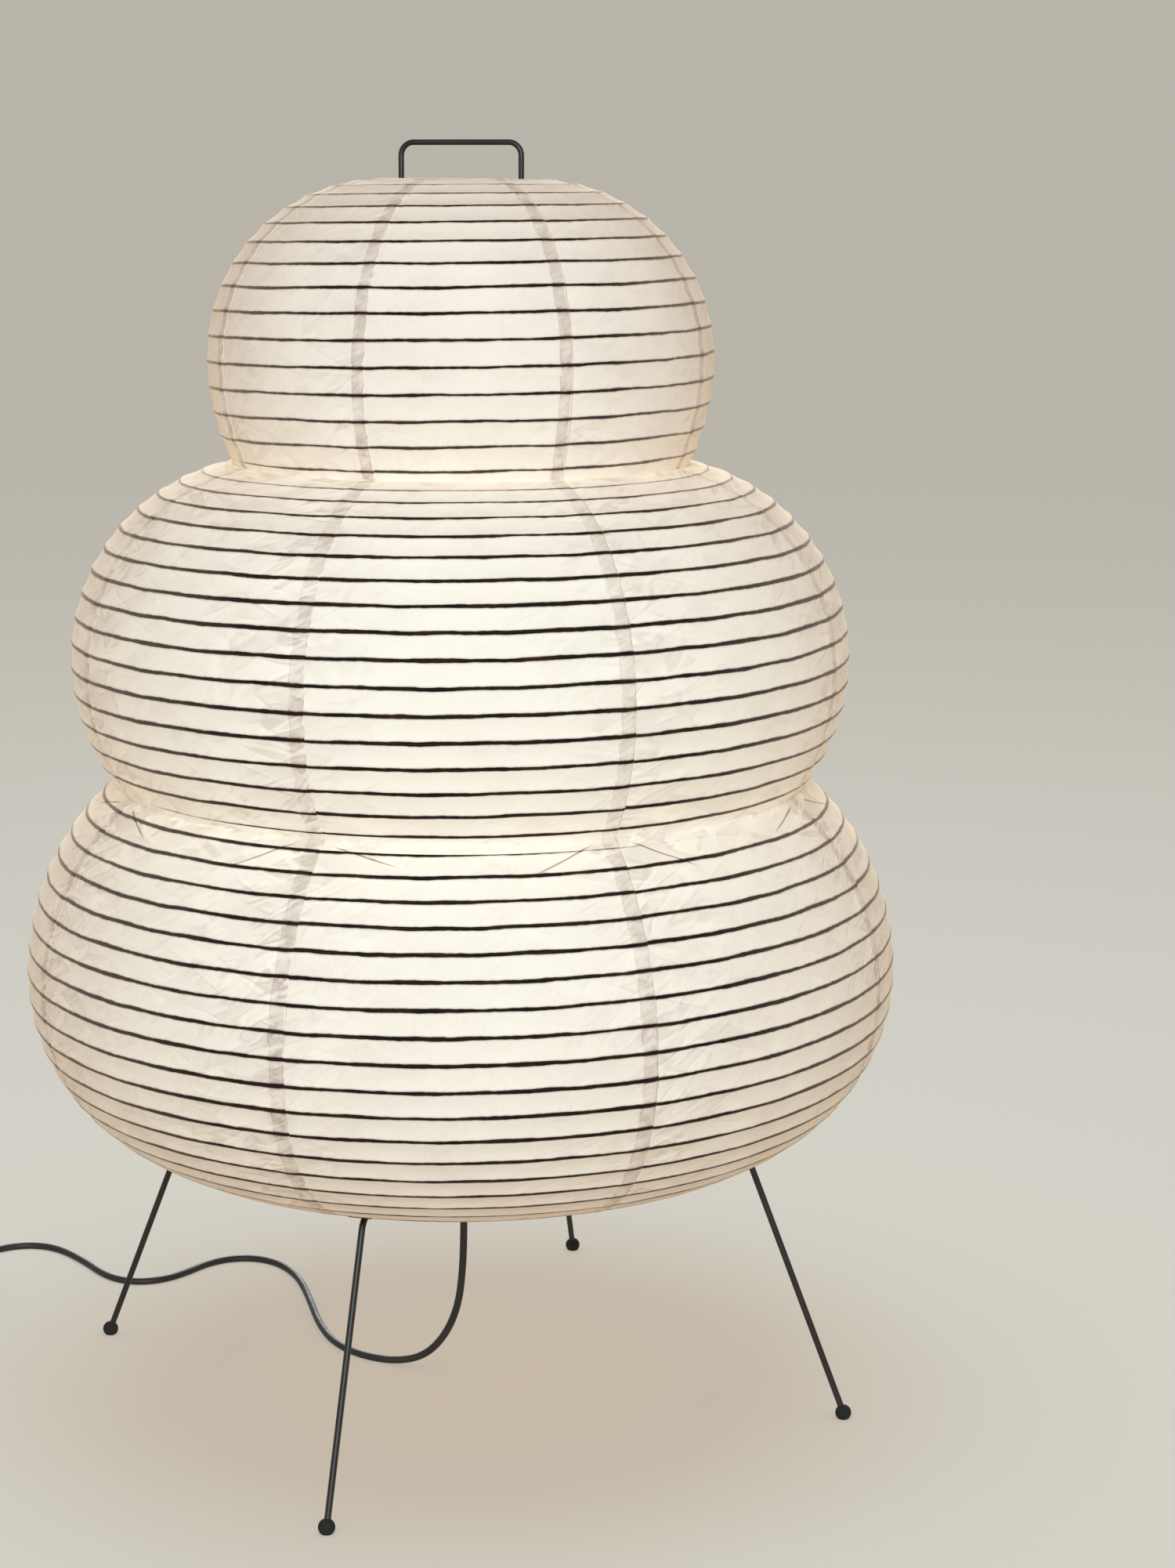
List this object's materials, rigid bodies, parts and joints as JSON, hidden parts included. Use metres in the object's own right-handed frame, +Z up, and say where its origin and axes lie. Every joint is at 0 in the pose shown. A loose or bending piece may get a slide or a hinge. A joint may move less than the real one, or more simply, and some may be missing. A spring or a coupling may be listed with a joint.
{
  "type": "paper lantern lamp",
  "caption": "Paper lantern lamp with swelling tiers over bamboo ribs, on a stand of bent wire legs with rubber feet, with a carrying handle, a mains cord, an inline switch and a plug.",
  "frame": {"origin": "on the floor, on the lamp's axis", "axes": "+Z up along the lamp's axis; -Y is the front leg, +X the right leg; the handle lies along X"},
  "size_m": [0.7794, 0.619, 0.8975],
  "materials": {
    "paper": "matte",
    "bamboo": "satin",
    "black_wire": "satin",
    "rubber": "matte",
    "steel": "zinc plated",
    "black_plastic": "moulded, matte",
    "cord_sheath": "extruded, matte",
    "porcelain": "glazed",
    "brass": "stamped",
    "bulb_opal": "opal",
    "bulb_clear": "clear",
    "black_glass": "gloss",
    "filament": "drawn wire"
  },
  "bodies": {
    "stand": {"paper_panel_1": "paper", "paper_panel_2": "paper", "paper_panel_3": "paper", "paper_panel_4": "paper", "paper_panel_5": "paper", "paper_panel_6": "paper", "paper_panel_7": "paper", "paper_panel_8": "paper", "rib_bottom": "bamboo", "rib_middle": "bamboo", "rib_top": "bamboo", "top_hoop": "black_wire", "leg_front": "black_wire", "leg_right": "black_wire", "leg_back": "black_wire", "leg_left": "black_wire", "hub": "black_wire", "hoop_saddles": "black_wire", "crossbar": "black_wire", "stretcher": "black_wire", "top_hoop_collars": "black_wire", "foot_front": "rubber", "foot_right": "rubber", "foot_back": "rubber", "foot_left": "rubber", "hub_set_screws": "steel", "stem": "steel", "stem_nuts": "steel", "stretcher_nuts": "steel", "terminal_screws": "steel", "switch_screws": "steel", "plug_pins": "steel", "holder_cap": "black_plastic", "holder_body": "black_plastic", "strain_relief": "black_plastic", "switch_base": "black_plastic", "switch_cover": "black_plastic", "plug_body": "black_plastic", "cord_tie": "black_plastic", "cord_inner": "cord_sheath", "cord_lead": "cord_sheath", "cord_coil": "cord_sheath", "holder_base": "porcelain", "holder_liner": "brass", "holder_contact": "brass", "switch_contacts": "brass"},
    "shade_base": {"bottom_hoop": "black_wire"},
    "bulb_carrier": {"bulb_tip": "brass"},
    "bulb": {"bulb_glass": "bulb_opal", "bulb_cap": "steel", "bulb_insulator": "black_glass", "bulb_mount": "bulb_clear", "bulb_filament": "filament"},
    "switch_key": {"switch_rocker": "black_plastic"}
  },
  "joints": [
    {"name": "shade_lift", "type": "slide", "parent": "stand", "child": "shade_base", "axis": [0, 0, 1], "range_m": [0, 0.44], "deforming": ["paper_panel_1", "paper_panel_2", "paper_panel_3", "paper_panel_4", "paper_panel_5", "paper_panel_6", "paper_panel_7", "paper_panel_8", "rib_bottom", "rib_middle", "rib_top"]},
    {"name": "bulb_rise", "type": "slide", "parent": "stand", "child": "bulb_carrier", "axis": [0, 0, 1], "range_m": [0, 0.02]},
    {"name": "bulb_turn", "type": "hinge", "parent": "bulb_carrier", "child": "bulb", "pos_m": [0, 0, 0.45], "axis": [0, 0, 1], "range_deg": [0, 1980]},
    {"name": "switch_rock", "type": "hinge", "parent": "stand", "child": "switch_key", "pos_m": [-0.43512, 0.05628, 0.013], "axis": [0.8942, 0.4478, 0], "range_deg": [-16, 0]}
  ],
  "couplings": [
    {"joint": "bulb_rise", "follows": "bulb_turn", "m_per_rad": 0.00057757}
  ]
}
